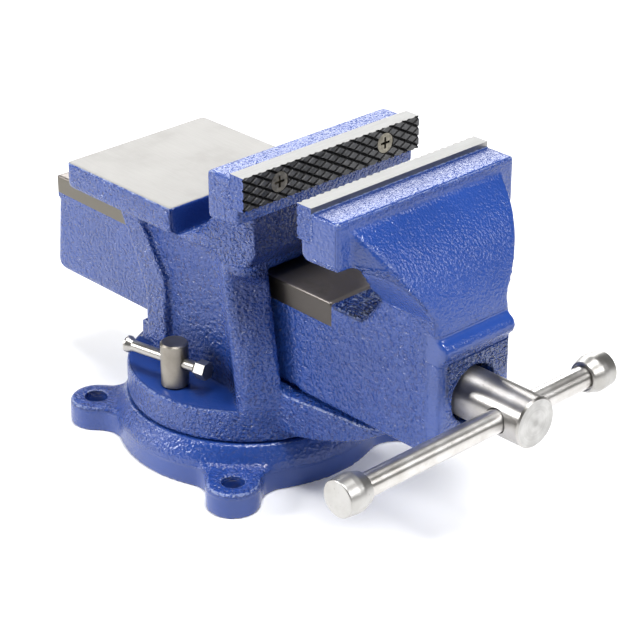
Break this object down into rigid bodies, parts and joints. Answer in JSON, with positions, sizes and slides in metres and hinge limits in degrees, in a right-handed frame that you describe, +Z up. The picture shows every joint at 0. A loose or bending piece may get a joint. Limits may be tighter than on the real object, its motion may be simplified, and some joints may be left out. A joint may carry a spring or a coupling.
{
  "type": "bench vise",
  "caption": "Cast-iron bench vise with grooved jaw plates, an anvil, a sliding front jaw driven by a screw and tommy bar, and a lockable swivel base with bolt lugs.",
  "frame": {"origin": "on the bench, on the swivel axis, at the centre of the bolt circle", "axes": "+X along the slide towards the user and the handle, +Y along the jaws, +Z up from the bench"},
  "size_m": [0.2853, 0.161, 0.1534],
  "materials": {
    "blue_paint": "glossy blue hammered paint on cast iron; anvil top and slide ways bare",
    "jaw_steel": "hardened steel, dark grooved face and ground top edge",
    "screw_steel": "zinc-plated, dull",
    "nut_iron": "as cast, oiled",
    "fastener_steel": "plain steel",
    "bright_steel": "turned and polished",
    "lock_steel": "turned, satin grey-brown"
  },
  "bodies": {
    "base": {"swivel_base": "blue_paint"},
    "fixed_jaw": {"fixed_jaw_body": "blue_paint", "fixed_jaw_plate": "jaw_steel", "fixed_plate_screws": "screw_steel", "main_nut": "nut_iron", "nut_bolt": "fastener_steel", "nut_bolt_washer": "fastener_steel", "lock_stud_left": "fastener_steel", "lock_stud_right": "fastener_steel"},
    "moving_jaw": {"moving_jaw": "blue_paint", "moving_jaw_plate": "jaw_steel", "moving_plate_screws": "screw_steel"},
    "spindle": {"spindle": "bright_steel", "thrust_washer": "fastener_steel", "keeper_washer": "fastener_steel", "return_spring": "fastener_steel", "split_pin": "fastener_steel"},
    "handle": {"handle_bar": "bright_steel", "handle_cap_left": "bright_steel", "handle_cap_right": "bright_steel"},
    "lock_left": {"lock_nut_left": "lock_steel"},
    "lock_bar_left": {"lock_bar_left": "bright_steel"},
    "lock_right": {"lock_nut_right": "lock_steel"},
    "lock_bar_right": {"lock_bar_right": "bright_steel"}
  },
  "joints": [
    {"name": "swivel", "type": "hinge", "parent": "base", "child": "fixed_jaw", "pos_m": [0, 0, 0], "axis": [0, 0, 1], "continuous": true},
    {"name": "jaw_slide", "type": "slide", "parent": "fixed_jaw", "child": "moving_jaw", "axis": [1, 0, 0], "range_m": [-0.031, 0.0685]},
    {"name": "spindle_turn", "type": "hinge", "parent": "moving_jaw", "child": "spindle", "pos_m": [0, 0, 0.0703], "axis": [1, 0, 0], "range_deg": [-2234, 4934]},
    {"name": "handle_slide", "type": "slide", "parent": "spindle", "child": "handle", "axis": [0, 1, 0], "range_m": [-0.0305, 0.072]},
    {"name": "lock_left_turn", "type": "hinge", "parent": "fixed_jaw", "child": "lock_left", "pos_m": [0, -0.0435, 0.037], "axis": [0, 0, 1], "range_deg": [-22, 15]},
    {"name": "lock_left_bar_slide", "type": "slide", "parent": "lock_left", "child": "lock_bar_left", "axis": [0.9823, 0.1874, 0], "range_m": [-0.0065, 0.005]},
    {"name": "lock_right_turn", "type": "hinge", "parent": "fixed_jaw", "child": "lock_right", "pos_m": [0, 0.0435, 0.037], "axis": [0, 0, 1], "range_deg": [-15, 22]},
    {"name": "lock_right_bar_slide", "type": "slide", "parent": "lock_right", "child": "lock_bar_right", "axis": [0.9823, -0.1874, 0], "range_m": [-0.0065, 0.005]}
  ],
  "couplings": [
    {"joint": "spindle_turn", "follows": "jaw_slide", "rad_per_m": 1256.6}
  ]
}
